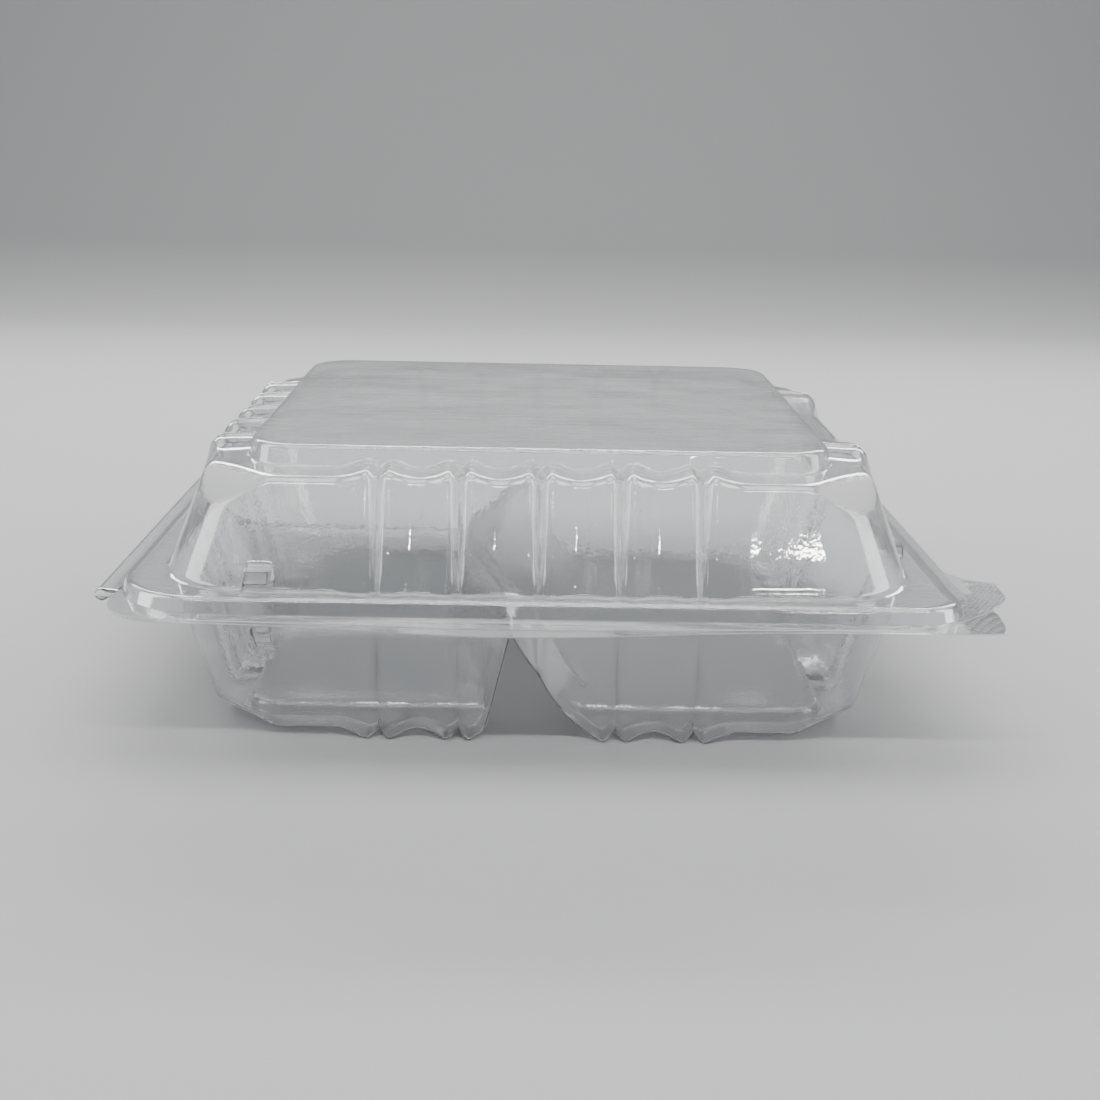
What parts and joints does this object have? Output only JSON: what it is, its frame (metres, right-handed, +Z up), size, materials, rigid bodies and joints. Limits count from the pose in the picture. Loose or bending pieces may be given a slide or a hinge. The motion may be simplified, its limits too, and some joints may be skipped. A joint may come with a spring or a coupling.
{
  "type": "plastic clamshell pack",
  "caption": "Clear plastic food pack: divided base, domed lid on a folded hinge, ribbed walls, nesting rims and a finger tab on one corner.",
  "frame": {"origin": "under the middle of the closed pack's outline, finger tab included, on the surface that its feet stand on", "axes": "+X from the hinge to the opening edge, +Y along the hinge towards the corner without a tab, +Z up"},
  "size_m": [0.25, 0.227, 0.0797],
  "materials": {
    "base_sheet": "clear, glossy, faintly milky thermoformed sheet",
    "lid_sheet": "clear, glossy, faintly milky thermoformed sheet"
  },
  "bodies": {
    "base": {"base_tray": "base_sheet"},
    "lid": {"lid": "lid_sheet"}
  },
  "joints": [
    {"name": "lid_hinge", "type": "hinge", "parent": "base", "child": "lid", "pos_m": [-0.12519, 0, 0.0414], "axis": [0, -1, 0], "range_deg": [0, 180]}
  ]
}
